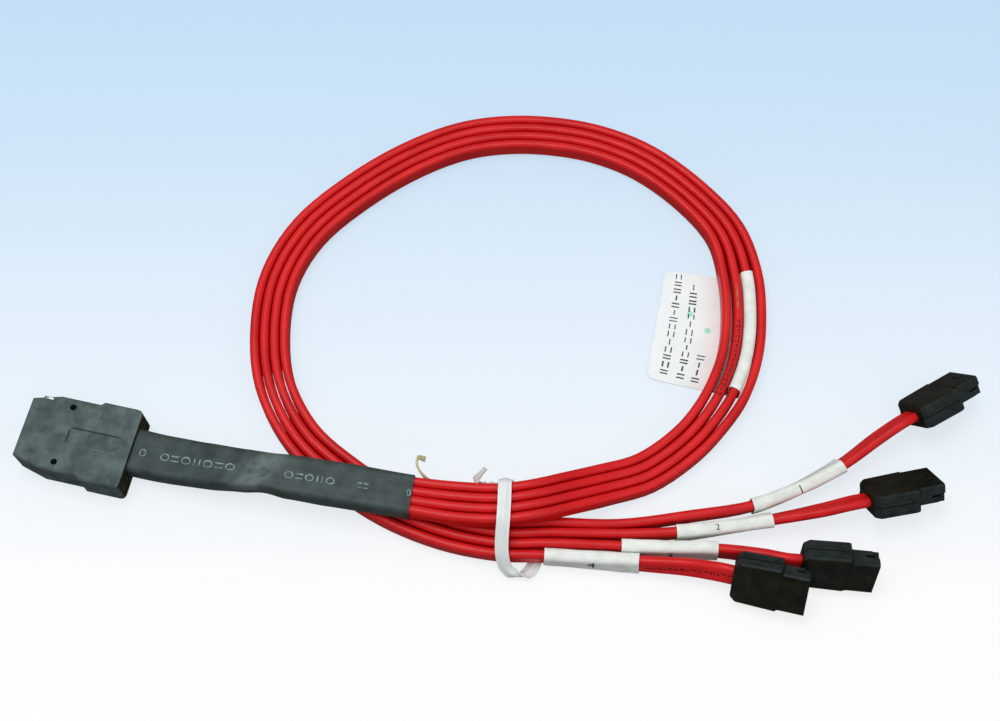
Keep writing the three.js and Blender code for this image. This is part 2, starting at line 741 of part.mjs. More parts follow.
root.position.set(-middle.x, -middle.y, -reach.min.z);

export default root;
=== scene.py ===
import math
from bisect import bisect_right

import bmesh
import bpy
from mathutils import Matrix, Vector, noise


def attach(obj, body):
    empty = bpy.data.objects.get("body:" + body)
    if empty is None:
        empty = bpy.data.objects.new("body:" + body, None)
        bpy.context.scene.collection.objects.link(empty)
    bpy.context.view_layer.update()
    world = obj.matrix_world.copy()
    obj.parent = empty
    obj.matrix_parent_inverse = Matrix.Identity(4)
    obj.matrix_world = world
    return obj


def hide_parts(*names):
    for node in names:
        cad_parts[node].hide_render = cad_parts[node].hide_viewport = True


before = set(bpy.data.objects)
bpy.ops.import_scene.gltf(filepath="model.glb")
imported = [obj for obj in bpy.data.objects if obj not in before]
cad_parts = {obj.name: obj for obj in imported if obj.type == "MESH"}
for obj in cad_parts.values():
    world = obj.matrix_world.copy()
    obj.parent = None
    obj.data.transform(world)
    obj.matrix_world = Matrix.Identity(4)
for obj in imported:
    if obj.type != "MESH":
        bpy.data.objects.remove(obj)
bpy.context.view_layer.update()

MM = 0.001
# From the layout's own coordinates to the part's frame
LAYOUT_SHIFT = Vector((-0.2759, 42.7924, 0))
CABLE_BODY = "cable"

# Sizes as in the part's source
GAP = 0.3
CABLE_THICK = 2.6
CABLE_WIDE = 6
CABLE_ROUND = 1.2
CABLE_COUNT = 4
STEPS_PER_POINT = 5
SLEEVE_PITCH = 2.8
SLEEVE_WALL = 0.4
SLEEVE_FIT = 0.15
MARKER_WALL = 0.35
LABEL_WALL = 0.3
SAS_LENGTH = 32.7
SAS_THICK = 11.2
SAS_REAR_WALL = 2.2
SAS_BODY_WIDTH = 22.5
RECESS_START = 13.6
RECESS_LENGTH = 16.3
RECESS_WIDTH = 5.4
RECESS_DEPTH = 0.25
DOWEL_HOLE_RADIUS = 0.95
DOWEL_HOLE_X = 12.5
DOWEL_HOLE_INSET = 2.7
SAS_FRONT = (-138.4, -25.2)
SAS_HEADING = -12.8
COVER_LENGTH = 13.3
COVER_WIDTH = 14.2
COVER_THICK = 7.4
COVER_REAR_WIDTH = 13.4
COVER_CHAMFER = 1.6
CONTACT_COUNT = 7

# The jacket's groove, its width beside the groove, and how far print lies off a surface
CABLE_GROOVE = 0.05
CABLE_SWELL = 1.05
PRINT_LIFT = 0.04
# A digit lies further off, clear of its marker's crumples
DIGIT_LIFT = 0.2

# Rear face's middle, then heading, pitch and roll in degrees
PLUG_PLACES = (
    ((120.3, -21.5, 8.8738), 31, 5.6, -55.7),
    ((105, -46.8, 7.9478), 11.9, 2.8, -47),
    ((84.5, -65.2, 7.8601), -5.5, 0.5, 68),
    ((65.6, -68.5, 6.9567), -14.7, -6.6, 52),
)

# Middle of the four cables: x, y, z, spacing of the cables
GROUP_ROUTE = (
    (-98, -34.5, 5.9, 2.8), (-86, -37.1, 7.8, 2.8), (-66, -40.7, 10.7, 2.8), (-55, -42.4, 10.8, 2.8),
    (-34, -45.6, 10.8, 2.8), (-25, -47, 10.8, 2.8), (-12, -48.7, 10.8, 3), (0, -49.2, 10.8, 3),
    (10, -47.9, 10.8, 3), (20, -44.9, 8.6, 3), (30, -41.4, 5.2, 3), (42.4, -37.2, 3.6, 3),
    (54.6, -28.6, 3.6, 3.05), (62, -20.5, 3.8, 3.2), (68, -11.2, 3.8, 3.55), (72.4, 0.7, 3.8, 3.55),
    (74.1, 13.6, 3.8, 3.55), (73.8, 26.4, 3.8, 3.55), (70.2, 41, 3.8, 3.2), (60.6, 54.3, 3.4, 3),
    (46, 66.9, 3.2, 3), (31.5, 73.7, 3.2, 3), (17, 76.8, 3.2, 3), (2, 77.3, 3.2, 3),
    (-12.2, 74.9, 3.2, 3), (-28, 68, 3.2, 3), (-45, 56.4, 3.2, 3), (-59.7, 42, 3.2, 3),
    (-67.7, 26, 3.2, 3), (-69.7, 9, 3.2, 3), (-67.2, -9.3, 3.2, 3), (-58.4, -26, 3.2, 3),
    (-46, -37.6, 3.2, 3.1), (-32, -47, 3.3, 3.2), (-16, -53.8, 3.7, 3.2), (0, -57.4, 4.3, 3.1),
)
# Points of that route, with the plug's exit as 0, where the sleeve ends and the label starts and ends
SLEEVE_LAST_POINT = 6
LABEL_FIRST_POINT = 15
LABEL_LAST_POINT = 18
LABEL_CABLE = 2

# Each cable from the tie to its plug: x, y, z, lean of the upper edge to the left in degrees
TAIL_ROUTES = (
    ((14, -52.7, 4.3, 0), (34, -53, 3.5, 0), (55, -50.4, 3.8, 0), (72.6, -47.4, 3.9, -5),
     (86, -42.4, 4.6, -14), (99, -35.6, 6, -25), (110, -27.9, 7.9, -34)),
    ((14, -55.8, 4.3, 0), (34, -55.9, 3.5, 0), (50.4, -55.4, 3.8, 0), (64, -53.9, 4.2, -10),
     (78, -51.8, 5.2, -24), (92, -49.6, 7.2, -38)),
    ((14, -58.9, 4.3, 0), (34.5, -59.6, 3.8, 0), (48, -60.3, 4, 3), (62, -60.9, 4.8, 8),
     (74, -62.8, 6, 15)),
    ((12.5, -62.4, 4.3, 0), (26, -63.3, 3.9, 4), (39.5, -64.6, 4.8, 14), (53, -66.2, 6.8, 28)),
)
# Points of those routes, counted from 1, where each marker starts and ends
MARKER_PLACES = ((4, 6), (3, 5), (2, 4), (1, 3))
# The straight stretch into each plug
END_STRAIGHT = 4

# Twist tie: the loop round the bundle, the knot and the two loose ends
TIE_LOOP = (
    (1.5, -42.3, 9), (1.5, -42.3, 12.6), (1.4, -44.2, 14.8), (1.2, -49.5, 14.9), (0.9, -54.6, 14.8),
    (0.5, -59.3, 12), (0.6, -63.4, 8.6), (1.8, -66, 4.8), (4.2, -67.2, 2.8), (7.6, -66.6, 1.6),
    (10.2, -62.6, 0.85), (10.4, -56, 0.76), (8.6, -51, 0.88), (6, -46.6, 3), (3.8, -42.6, 5.6),
    (2, -41.5, 8.6),
)
TIE_KNOT = ((2.6, -42.3, 6.8), (-1, -42.5, 7.8), (-4.5, -42.5, 8.2))
TIE_THICK_END = (
    (-5, -42.5, 8), (-6.7, -42.6, 10.6), (-6.9, -42.3, 12.8), (-5.8, -41.4, 14.6), (-4.2, -39.8, 15.6),
)
TIE_THIN_END = (
    (-3.5, -42.5, 8), (-10, -42.6, 7.6), (-16, -42, 7.8), (-19.8, -41.6, 9.6), (-22, -40.7, 12.4),
    (-23.7, -38, 14.2), (-23.2, -36.2, 14.4), (-21.2, -36.7, 14.2),
)
TIE_WIDE = 3.8
TIE_KNOT_WIDE = 2.3
TIE_THICK_END_WIDE = 2
# How far the knot turns from one of its rings to the next, in radians
TIE_KNOT_TURN = 0.42

# The label's free corners on the floor, how far they are rounded, and its columns of points
LABEL_FAR = (51.5, 30)
LABEL_NEAR = (44.2, -6)
LABEL_CORNER = 2
LABEL_COLUMNS = 16
# Rows of print: distance from the free edge, then start and end measured from the near corner
LABEL_ROWS = ((4.6, 2.4, 34.5), (9.6, 2, 33.5), (14, 1.8, 11))
LABEL_DOTS = ((23.4, 9.2), (18.9, 14.7))
LABEL_DOT_RADIUS = 0.95

# The camera's place in the layout, its tilt from straight down, and its lens and sensor in mm
CAMERA_PLACE = (0, -177.8, 418.8)
CAMERA_TILT = 23
LENS = 54
SENSOR = 36

# Area lamps: name, place and diameter in metres, and watts
LAMPS = (("key", (-0.16, 0.12, 0.86), 0.5, 3.6), ("fill", (0.5, -0.4, 0.6), 0.6, 0.6))
WORLD_LIGHT = 0.5
WORLD_MIRRORED = 0.25

# Floor, in metres: half its side, how far it lies under the part, and where its colours start and end
FLOOR_HALF = 4
FLOOR_DROP = 0.00002
FLOOR_FRONT = -0.031
FLOOR_BACK = 0.171
FLOOR_LIT_SHARE = 0.22
FLOOR_BOUNCE = 0.2


def in_frame(point):
    """A layout point in the part's frame, still in mm"""
    return Vector(point) + LAYOUT_SHIFT


def plug_matrix(place, heading, pitch=0, roll=0):
    """From a plug's own coordinates to the part's frame"""
    turn = Matrix.Rotation(math.radians(heading), 4, "Z")
    turn = turn @ Matrix.Rotation(math.radians(pitch), 4, "Y")
    turn = turn @ Matrix.Rotation(math.radians(roll), 4, "X")
    return Matrix.Translation(in_frame(place)) @ turn


SAS_MATRIX = plug_matrix((*SAS_FRONT, 0), SAS_HEADING)
PLUG_MATRICES = [plug_matrix(*place) for place in PLUG_PLACES]


def new_object(name, data):
    made = bpy.data.objects.new(name, data)
    bpy.context.scene.collection.objects.link(made)
    return made


def new_mesh(name, verts, faces):
    data = bpy.data.meshes.new(name)
    data.from_pydata(verts, [], faces)
    return data


# Camera
def make_camera():
    data = bpy.data.cameras.new("camera")
    data.sensor_width = SENSOR
    data.lens = LENS
    data.clip_start = 0.01
    camera = new_object("camera", data)
    camera.location = in_frame(CAMERA_PLACE) * MM
    camera.rotation_euler = (math.radians(CAMERA_TILT), 0, 0)
    bpy.context.scene.camera = camera


# Surfaces
def colour(red, green, blue):
    """A colour written in 0 to 255, as a shader takes it"""
    parts = [v / 255 for v in (red, green, blue)]
    return (*[v / 12.92 if v <= 0.04045 else ((v + 0.055) / 1.055) ** 2.4 for v in parts], 1)


def new_material(name):
    material = bpy.data.materials.new(name)
    material.use_nodes = True
    tree = material.node_tree
    return material, tree, tree.nodes["Principled BSDF"]


def add_node(tree, kind, values, output=0, **settings):
    """A new node's output. Each value is set on its input, or linked to it where it is a socket"""
    node = tree.nodes.new("ShaderNode" + kind)
    for name, setting in settings.items():
        setattr(node, name, setting)
    for name, value in values.items():
        if isinstance(value, bpy.types.NodeSocket):
            tree.links.new(value, node.inputs[name])
        else:
            node.inputs[name].default_value = value
    return node.outputs[output]


def add_noise(tree, vector, scale, detail):
    values = {"Vector": vector, "Scale": scale, "Detail": detail, "Roughness": 0.55}
    return add_node(tree, "TexNoise", values, "Fac")


def add_range(tree, value, low, high, to_low, to_high):
    values = {"Value": value, "From Min": low, "From Max": high, "To Min": to_low, "To Max": to_high}
    return add_node(tree, "MapRange", values)


def add_ramp(tree, value, stops):
    node = tree.nodes.new("ShaderNodeValToRGB")
    ramp = node.color_ramp
    while len(ramp.elements) < len(stops):
        ramp.elements.new(0.5)
    for element, (place, tone) in zip(ramp.elements, stops):
        element.position = place
        element.color = tone
    tree.links.new(value, node.inputs["Fac"])
    return node.outputs["Color"]


def add_bump(tree, shader, height, strength, distance):
    normal = add_node(tree, "Bump", {"Strength": strength, "Distance": distance, "Height": height})
    tree.links.new(normal, shader.inputs["Normal"])


def place_of(tree, output="Object", scale=(1, 1, 1)):
    """The coordinates that a pattern is laid in, stretched by scale"""
    place = add_node(tree, "TexCoord", {}, output)
    if scale == (1, 1, 1):
        return place
    return add_node(tree, "Mapping", {"Vector": place, "Scale": scale})


def moulded(name, dark, light, blotch=230, grain=2400, detail=3, rough=(0.45, 0.62), bump=(0.25, 0.00012),
            output="Object", scale=(1, 1, 1), worn=None, specular=0.5, metallic=0):
    """Two tones in soft blotches, with a fine grain that moves gloss and height. worn is the tone where a
    piece's attribute of that name is 1"""
    material, tree, shader = new_material(name)
    vector = place_of(tree, output, scale)
    stops = ((0.35, colour(*dark)), (0.65, colour(*light)))
    tones = add_ramp(tree, add_noise(tree, vector, blotch, detail), stops)
    if worn:
        mark = add_node(tree, "Attribute", {}, "Fac", attribute_name="worn")
        tones = add_node(tree, "Mix", {0: mark, 6: tones, 7: colour(*worn)}, 2, data_type="RGBA")
    tree.links.new(tones, shader.inputs["Base Color"])
    fine = add_noise(tree, vector, grain, 2)
    tree.links.new(add_range(tree, fine, 0.3, 0.7, *rough), shader.inputs["Roughness"])
    add_bump(tree, shader, fine, *bump)
    shader.inputs["Specular IOR Level"].default_value = specular
    shader.inputs["Metallic"].default_value = metallic
    return material


JACKET = moulded("red_jacket", (202, 14, 20), (224, 28, 30), blotch=60, grain=900, output="UV",
                 scale=(1, 2.5, 1), rough=(0.34, 0.48), bump=(0.12, 0.00008), specular=0.32)
SHRINK = moulded("shrink_tube", (48, 61, 60), (65, 81, 80), blotch=210, grain=2200, detail=5,
                 rough=(0.46, 0.62), bump=(0.3, 0.00012), worn=(98, 113, 111), specular=0.3)
SHELL = moulded("grey_shell", (60, 75, 75), (90, 107, 108), detail=6, rough=(0.52, 0.7),
                bump=(0.35, 0.00014), specular=0.3)
# Painted highlight: a paler copy of the grey shell, for the wide plug's rounded rear upper edge and the
# recess's pale lines
SHELL_HIGHLIGHT = moulded("grey_shell_painted_highlight", (88, 104, 104), (106, 122, 121), rough=(0.5, 0.66),
                     bump=(0.2, 0.0001), specular=0.3)
# Painted shade: a darker, browner copy of the grey shell, for the wide plug's rear face
SHELL_REAR_SHADE = moulded("grey_shell_rear_painted_shade", (40, 37, 24), (56, 53, 40), rough=(0.6, 0.75),
                     bump=(0.2, 0.0001), specular=0.15)
RECESS_SHADE = moulded("grey_shell_shade", (36, 46, 45), (50, 62, 61), rough=(0.6, 0.75),
                       bump=(0.2, 0.0001), specular=0.15)
COVER = moulded("black_cover", (19, 21, 14), (32, 34, 23), blotch=210, grain=2600, detail=5,
                rough=(0.42, 0.58), bump=(0.3, 0.00012), specular=0.16)
# Painted light: a paler, bluer copy of the black cover for the lit narrow sides of covers and housings, and
# for their ribs and raised marks
COVER_LIT_SIDE = moulded("black_cover_painted_lit_side", (26, 35, 34), (40, 51, 50), blotch=260, detail=5,
                     rough=(0.4, 0.56), bump=(0.3, 0.00012), specular=0.2)
HOUSING = moulded("black_housing", (18, 19, 12), (31, 32, 21), blotch=260, grain=1800,
                  rough=(0.36, 0.5), bump=(0.15, 0.0001), specular=0.16)
# Painted shade: near black, for the floors of the dowel holes and the slots in the housings' sides
SHADE = moulded("deep_black", (5, 6, 5), (12, 13, 12), blotch=400, rough=(0.7, 0.85),
                bump=(0.1, 0.0001), specular=0.05)
MARKER = moulded("white_marker", (226, 232, 225), (243, 247, 243), blotch=240, grain=1700,
                 rough=(0.42, 0.58), bump=(0.2, 0.00012), specular=0.3)
PAPER = moulded("label_paper", (241, 249, 250), (249, 254, 254), blotch=120, grain=3800,
                rough=(0.5, 0.62), bump=(0.06, 0.00005), specular=0.3)
INK = moulded("label_ink", (34, 42, 44), (96, 108, 110), blotch=420, grain=4000, rough=(0.5, 0.7),
              specular=0.2)
PALE_PRINT = moulded("pale_print", (96, 118, 122), (158, 178, 182), blotch=700, grain=4000,
                     rough=(0.5, 0.7), specular=0.2)
GREEN_DOT = moulded("green_dot", (160, 232, 212), (190, 242, 226), blotch=700, grain=4000,
                    rough=(0.4, 0.6))
JACKET_PRINT = moulded("jacket_print", (84, 10, 14), (136, 14, 18), blotch=1500, grain=4000,
                       rough=(0.4, 0.6), specular=0.2)
STAIN = moulded("brown_stain", (158, 84, 58), (186, 112, 82), blotch=900, grain=3000, rough=(0.4, 0.6))
TIE = moulded("tie_plastic", (228, 234, 234), (238, 243, 243), blotch=160, grain=900,
              rough=(0.26, 0.36), bump=(0.03, 0.00005), specular=0.35)
TIE_AGED = moulded("tie_aged", (196, 188, 140), (226, 220, 182), blotch=300, grain=1500,
                   rough=(0.34, 0.48), bump=(0.08, 0.0001), specular=0.35)
STEEL = moulded("sheet_steel", (176, 180, 184), (202, 206, 209), blotch=120, grain=1600,
                scale=(1, 6, 6), rough=(0.24, 0.4), bump=(0.08, 0.00005), metallic=1)
GOLD = moulded("gold_plate", (206, 160, 74), (224, 182, 96), blotch=500, grain=2500,
               rough=(0.22, 0.34), bump=(0.05, 0.00004), metallic=1)
BOARD = moulded("green_board", (20, 66, 42), (30, 86, 56), blotch=400, grain=2500, rough=(0.35, 0.5))
BLOCK = moulded("inner_block", (24, 26, 27), (36, 39, 40), blotch=300, rough=(0.5, 0.65))


# Curves and frames along them
def curve_through(points, steps):
    """A centripetal Catmull-Rom curve: its points and directions, steps to each pair of points"""
    ends = [points[0] * 2 - points[1], *points, points[-1] * 2 - points[-2]]
    line, along = [], []
    last = len(points) - 2
    for i in range(last + 1):
        p0, p1, p2, p3 = ends[i:i + 4]
        d0, d1, d2 = (math.sqrt((b - a).length) for a, b in ((p0, p1), (p1, p2), (p2, p3)))
        t1 = ((p1 - p0) / d0 - (p2 - p0) / (d0 + d1) + (p2 - p1) / d1) * d1
        t2 = ((p2 - p1) / d1 - (p3 - p1) / (d1 + d2) + (p3 - p2) / d2) * d1
        c2 = (p2 - p1) * 3 - t1 * 2 - t2
        c3 = (p1 - p2) * 2 + t1 + t2
        for k in range(steps + (i == last)):
            t = k / steps
            line.append(p1 + t1 * t + c2 * t * t + c3 * t ** 3)
            along.append((t1 + c2 * 2 * t + c3 * 3 * t * t).normalized())
    return line, along


def flat_frames(points, leans, steps):
    """Point, side and up along a flat cable: upright at lean 0, with its upper edge to the left above that"""
    line, along = curve_through(points, steps)
    frames = []
    for i, (point, ahead) in enumerate(zip(line, along)):
        upright = (Vector((0, 0, 1)) - ahead * ahead.z).normalized()
        left = upright.cross(ahead)
        index = min(i // steps, len(points) - 2)
        share = i / steps - index
        lean = math.radians(leans[index] * (1 - share) + leans[index + 1] * share)
        up = upright * math.cos(lean) + left * math.sin(lean)
        side = left * math.cos(lean) - upright * math.sin(lean)
        frames.append((point, side, up))
    return frames


def ribbon_frames(route, wide, steps):
    """Frames along a ribbon or wire whose wide side keeps to one direction"""
    line, along = curve_through([in_frame(p) for p in route], steps)
    frames = []
    for point, ahead in zip(line, along):
        side = (wide - ahead * ahead.dot(wide)).normalized()
        frames.append((point, side, ahead.cross(side)))
    return frames


def lengths_of(frames):
    run = [0.0]
    for (a, _, _), (b, _, _) in zip(frames, frames[1:]):
        run.append(run[-1] + (b - a).length)
    return run


def frame_at(frames, run, s):
    """The frame at a length along, between the two nearest ones"""
    i = min(max(bisect_right(run, s) - 1, 0), len(run) - 2)
    t = (s - run[i]) / (run[i + 1] - run[i])
    a, b = frames[i], frames[i + 1]
    return tuple((a[k].lerp(b[k], t) if k == 0 else a[k].lerp(b[k], t).normalized()) for k in range(3))


def spaced_frames(frames, run, start, end, step):
    count = max(2, math.ceil((end - start) / step))
    return [frame_at(frames, run, start + (end - start) * i / count) for i in range(count + 1)]


# Sections and meshes
def rounded_ring(width, height, radius, step, arc=5):
    """A rounded rectangle's points, anticlockwise from its lower right corner"""
    half_x, half_y = width / 2 - radius, height / 2 - radius
    corners = ((half_x, -half_y, -90), (half_x, half_y, 0), (-half_x, half_y, 90), (-half_x, -half_y, 180))
    ring = []
    for i, (x, y, start) in enumerate(corners):
        centre = Vector((x, y))
        for k in range(arc + 1):
            angle = math.radians(start + 90 * k / arc)
            ring.append(centre + Vector((math.cos(angle), math.sin(angle))) * radius)
        edge, run = ring[-1], Vector(corners[(i + 1) % 4][:2]) - centre
        parts = math.ceil(run.length / step)
        ring += [edge + run * (k / parts) for k in range(1, parts)]
    return ring


def bell(distance, width):
    return math.exp(-(distance / width) ** 2)


def ring_mesh(name, rings, closed):
    """A mesh of rings of points in mm. closed joins the last ring to the first, else both ends are capped.
    The UV map runs along the length and round the ring, in metres"""
    count = len(rings[0])
    total = len(rings)
    faces, corners = [], []
    along = [0.0]
    for a, b in zip(rings, rings[1:] + rings[:1]):
        along.append(along[-1] + (b[0] - a[0]).length * MM)
    around = [0.0]
    for a, b in zip(rings[0], rings[0][1:] + rings[0][:1]):
        around.append(around[-1] + (b - a).length * MM)
    for i in range(total if closed else total - 1):
        j = (i + 1) % total
        for k in range(count):
            m = (k + 1) % count
            faces.append((i * count + k, i * count + m, j * count + m, j * count + k))
            corners += [(along[i], around[k]), (along[i], around[k + 1]),
                        (along[i + 1], around[k + 1]), (along[i + 1], around[k])]
    if not closed:
        faces += [tuple(reversed(range(count))), tuple(range((total - 1) * count, total * count))]
        corners += [(0.0, around[k]) for k in reversed(range(count))]
        corners += [(along[total - 1], around[k]) for k in range(count)]
    data = new_mesh(name, [point * MM for ring in rings for point in ring], faces)
    layer = data.uv_layers.new(name="along_and_round")
    for loop, uv in zip(layer.data, corners):
        loop.uv = uv
    return data


def swept(name, frames, outer, inner=None):
    """A section swept along frames; outer and inner give its ring at a frame's number"""
    rings = [[point + side * x + up * y for x, y in outer(i)] for i, (point, side, up) in enumerate(frames)]
    if inner:
        for i in reversed(range(len(frames))):
            point, side, up = frames[i]
            rings.append([point + side * x + up * y for x, y in inner(i)])
    return ring_mesh(name, rings, inner is not None)


def add_piece(name, data, *looks, body=CABLE_BODY, sharp=40):
    """Puts a mesh into the scene as a piece that rides on a body"""
    for look in looks:
        data.materials.append(look)
    data.shade_smooth()
    data.set_sharp_from_angle(angle=math.radians(sharp))
    piece = new_object(name, data)
    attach(piece, body)
    return piece


def boxes_mesh(name, boxes, matrix, bevel):
    """Bevelled blocks between low and high corners, in a plug's own coordinates"""
    work = bmesh.new()
    for low, high in boxes:
        made = bmesh.ops.create_cube(work, size=1)["verts"]
        for vertex in made:
            vertex.co = Vector([low[k] if vertex.co[k] < 0 else high[k] for k in range(3)])
    bmesh.ops.bevel(work, geom=work.edges[:], offset=bevel, segments=2, profile=0.5, affect="EDGES")
    bmesh.ops.transform(work, matrix=Matrix.Scale(MM, 4) @ matrix, verts=work.verts)
    data = bpy.data.meshes.new(name)
    work.to_mesh(data)
    work.free()
    return data


def add_boxes(name, boxes, matrix, bevel, look, sharp=40):
    return add_piece(name, boxes_mesh(name, boxes, matrix, bevel), look, sharp=sharp)


# Cables
def group_points():
    """Middle of the four cables, their left-hand direction and spacing"""
    exit_point = SAS_MATRIX @ Vector((SAS_LENGTH - SAS_REAR_WALL, 0, SAS_THICK / 2))
    route = [(*exit_point, SLEEVE_PITCH)] + [(*in_frame(p[:3]), p[3]) for p in GROUP_ROUTE]
    group = []
    for i, (x, y, z, pitch) in enumerate(route):
        before, after = route[max(i - 1, 0)], route[min(i + 1, len(route) - 1)]
        ahead = Vector((after[0] - before[0], after[1] - before[1], 0)).normalized()
        group.append((Vector((x, y, z)), Vector((-ahead.y, ahead.x, 0)), pitch))
    return group


GROUP = group_points()
SLEEVE_HALF_WIDE = CABLE_THICK / 2 + (CABLE_COUNT - 1) * SLEEVE_PITCH / 2 + SLEEVE_FIT
SLEEVE_HALF_HIGH = CABLE_WIDE / 2 + SLEEVE_FIT
SLEEVE_TOP = SLEEVE_HALF_HIGH + SLEEVE_WALL + 0.1

# How far the sleeve's far edge stands out and its near edge is drawn in, by the length along it
SLEEVE_FAR = ((0, 1.5), (14, 1.3), (24, 1), (37, 0.55), (43, 0.4), (52, 0.7), (64, 0.55), (86, 0))
SLEEVE_NEAR = ((0, 0.3), (26, 0.6), (36, 1.1), (42.5, 1.75), (50, 0.9), (62, 0.5), (86, 0.2), (100, 0))
# How much thinner a cable gets for each mm that the near edge is drawn in
CABLE_SQUEEZE = 0.08
# The sleeve's creases: place along it, slant, width and depth
SLEEVE_CREASES = ((36, 0.55, 0.8, 0.34), (42.5, 0.35, 0.9, 0.38), (47.5, -0.4, 1.1, 0.2))
# Rows of print on the sleeve: place along it, number of signs, their spacing and their length
SLEEVE_ROWS = ((5.5, 1, 3, 1.7), (12.7, 7, 3.4, 2.6), (50, 5, 3, 2.2), (70.5, 2, 1.8, 1.2), (84.6, 1, 2, 1))


def cable_frames(index):
    points = [p + left * (((CABLE_COUNT - 1) / 2 - index) * pitch) for p, left, pitch in GROUP]
    leans = [0] * len(points)
    for x, y, z, lean in TAIL_ROUTES[index]:
        points.append(in_frame((x, y, z)))
        leans.append(lean)
    roll = PLUG_PLACES[index][3]
    for back in (GAP + END_STRAIGHT, GAP):
        points.append(PLUG_MATRICES[index] @ Vector((-back, 0, 0)))
        leans.append(-90 - roll if roll < 0 else 90 - roll)
    frames = flat_frames(points, leans, STEPS_PER_POINT)
    point, side, up = frames[-1]
    ahead = (PLUG_MATRICES[index].to_3x3() @ Vector((1, 0, 0))).normalized()
    return frames + [(point + ahead * 4 * GAP, side, up)]


def cable_section():
    """Two wire pairs under one jacket: a shallow groove down the middle of each wide face"""
    ring = rounded_ring(CABLE_THICK * CABLE_SWELL, CABLE_WIDE, CABLE_ROUND, 0.3)
    half = CABLE_THICK / 2
    return [Vector((x * (1 - CABLE_GROOVE / half * bell(y, 0.8)), y)) for x, y in ring]


def read_table(table, place):
    """A value between the table's places, eased at each of them"""
    if place <= table[0][0]:
        return table[0][1]
    for (a, low), (b, high) in zip(table, table[1:]):
        if place < b:
            t = (place - a) / (b - a)
            return low + (high - low) * t * t * (3 - 2 * t)
    return table[-1][1]


def make_cable(index):
    """Where the sleeve is pinched the near cables draw together, and all get a little thinner"""
    frames = cable_frames(index)
    run = lengths_of(frames)
    offset = ((CABLE_COUNT - 1) / 2 - index) * SLEEVE_PITCH
    drawn = [read_table(SLEEVE_NEAR, s) for s in run]
    frames = [(point + side * (near * max(-offset, 0) / SLEEVE_HALF_WIDE), side, up)
              for (point, side, up), near in zip(frames, drawn)]
    section = cable_section()

    def squeezed(i):
        return [Vector((x * (1 - CABLE_SQUEEZE * drawn[i]), y)) for x, y in section]

    name = f"jacket_{index + 1}"
    piece = add_piece(name, swept(name, frames, squeezed), JACKET, sharp=60)
    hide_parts(f"cable_{index + 1}")
    return piece, frames


make_camera()
cables = [make_cable(i) for i in range(CABLE_COUNT)]


# Sleeves
def marker_section(clear, wall):
    """A sleeve's section round one cable"""
    more = clear + wall
    return rounded_ring(CABLE_THICK + 2 * more, CABLE_WIDE + 2 * more, CABLE_ROUND + wall, 0.45)


def crumpled(ring, seed, depth, number):
    """The ring with small dents that change along the length"""
    dented = []
    for point in ring:
        dent = noise.noise(Vector((number * 0.16, point.y * 0.28 + seed * 7.3, point.x * 0.3))) * depth
        dented.append(point + point.normalized() * dent)
    return dented


def point_length(frames, point):
    """The length along a cable at one of its route's points"""
    return lengths_of(frames)[point * STEPS_PER_POINT]


def make_marker(index):
    _, frames = cables[index]
    run = lengths_of(frames)
    first, last = (len(GROUP) - 1 + place for place in MARKER_PLACES[index])
    start, end = point_length(frames, first), point_length(frames, last)
    rings = spaced_frames(frames, run, start, end, 0.7)
    outer = marker_section(GAP, MARKER_WALL)
    inner = marker_section(GAP, 0)
    name = f"marker_{index + 1}"
    data = swept(name, rings, lambda i: crumpled(outer, index, 0.14, i), lambda i: inner)
    piece = add_piece(name, data, MARKER, sharp=50)
    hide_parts(f"marker_sleeve_{index + 1}")
    return piece, start, end


def drawn_ring(ring, s):
    """The ring with its far edge moved out and its near edge drawn in"""
    far, near = read_table(SLEEVE_FAR, s), read_table(SLEEVE_NEAR, s)
    half = SLEEVE_HALF_WIDE + SLEEVE_WALL
    return [Vector((x + (far * max(x, 0) + near * max(-x, 0)) / half, y)) for x, y in ring]


def sleeve_ring(ring, s):
    """The shrunk tube's ring: it follows the cables a little, with a pinch and slanting creases"""
    shaped = []
    for (x, y), (across, _) in zip(ring, drawn_ring(ring, s)):
        follow = sum(bell(x - gap, 0.6) for gap in (-SLEEVE_PITCH, 0, SLEEVE_PITCH))
        dip = follow * 0.1 * (0.7 + 0.5 * noise.noise(Vector((s * 0.09, x * 0.3, 4))))
        crease = sum(deep * bell(s - place - slant * x, wide) for place, slant, wide, deep in SLEEVE_CREASES)
        level = min(abs(y) / SLEEVE_TOP, 1) ** 4
        wave = 0.08 * noise.noise(Vector((s * 0.16, x * 0.25, y)))
        drop = (dip + (crease if y > 0 else 0.5 * crease)) * level - wave
        shaped.append(Vector((across, y - math.copysign(drop, y))))
    return shaped


def sleeve_wear(s, x):
    """Where the tube is rubbed pale: a slanting patch over the creases"""
    patch = bell(s - 41.5 - 0.45 * x, 4.6)
    grain = noise.noise(Vector((s * 0.55 - x * 0.25, x * 0.5, 2.5)))
    grain += 0.6 * noise.noise(Vector((s * 1.7, x * 1.3, 7)))
    return min(1, max(0, patch * (0.75 + 0.9 * grain)))


group_frames = flat_frames([p for p, _, _ in GROUP], [0] * len(GROUP), STEPS_PER_POINT)
group_run = lengths_of(group_frames)
sleeve_end = group_run[SLEEVE_LAST_POINT * STEPS_PER_POINT]


